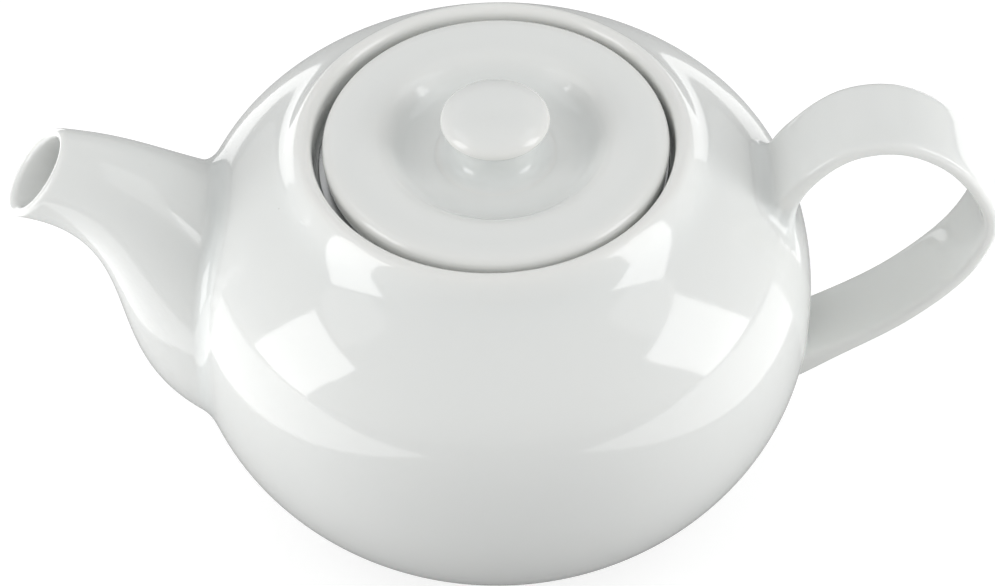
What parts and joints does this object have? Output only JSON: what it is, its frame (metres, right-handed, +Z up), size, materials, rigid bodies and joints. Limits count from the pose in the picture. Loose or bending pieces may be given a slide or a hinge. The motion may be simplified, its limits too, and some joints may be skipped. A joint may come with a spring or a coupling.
{
  "type": "teapot with infuser",
  "caption": "Squat round porcelain teapot with a wide curved spout, a flat ribbon handle, a dished drop-in lid with a button knob, and a lift-out perforated steel tea basket.",
  "frame": {"origin": "on the table, at the centre of the foot ring, which is the axis of the pot", "axes": "+Z up, +X towards the handle, -X towards the spout"},
  "size_m": [0.2207, 0.143, 0.1076],
  "materials": {
    "white_porcelain": "clear gloss glaze over white porcelain",
    "basket_steel": "satin stainless steel"
  },
  "bodies": {
    "pot": {"pot_body": "white_porcelain", "spout": "white_porcelain", "handle": "white_porcelain"},
    "infuser": {"infuser_rim": "basket_steel", "infuser_wall": "basket_steel", "infuser_base": "basket_steel"},
    "cover": {"lid": "white_porcelain", "lid_knob": "white_porcelain"}
  },
  "joints": [
    {"name": "infuser_lift", "type": "slide", "parent": "pot", "child": "infuser", "axis": [0, 0, 1], "range_m": [0, 0.1]},
    {"name": "lid_lift", "type": "slide", "parent": "infuser", "child": "cover", "axis": [0, 0, 1], "range_m": [0, 0.05]}
  ]
}
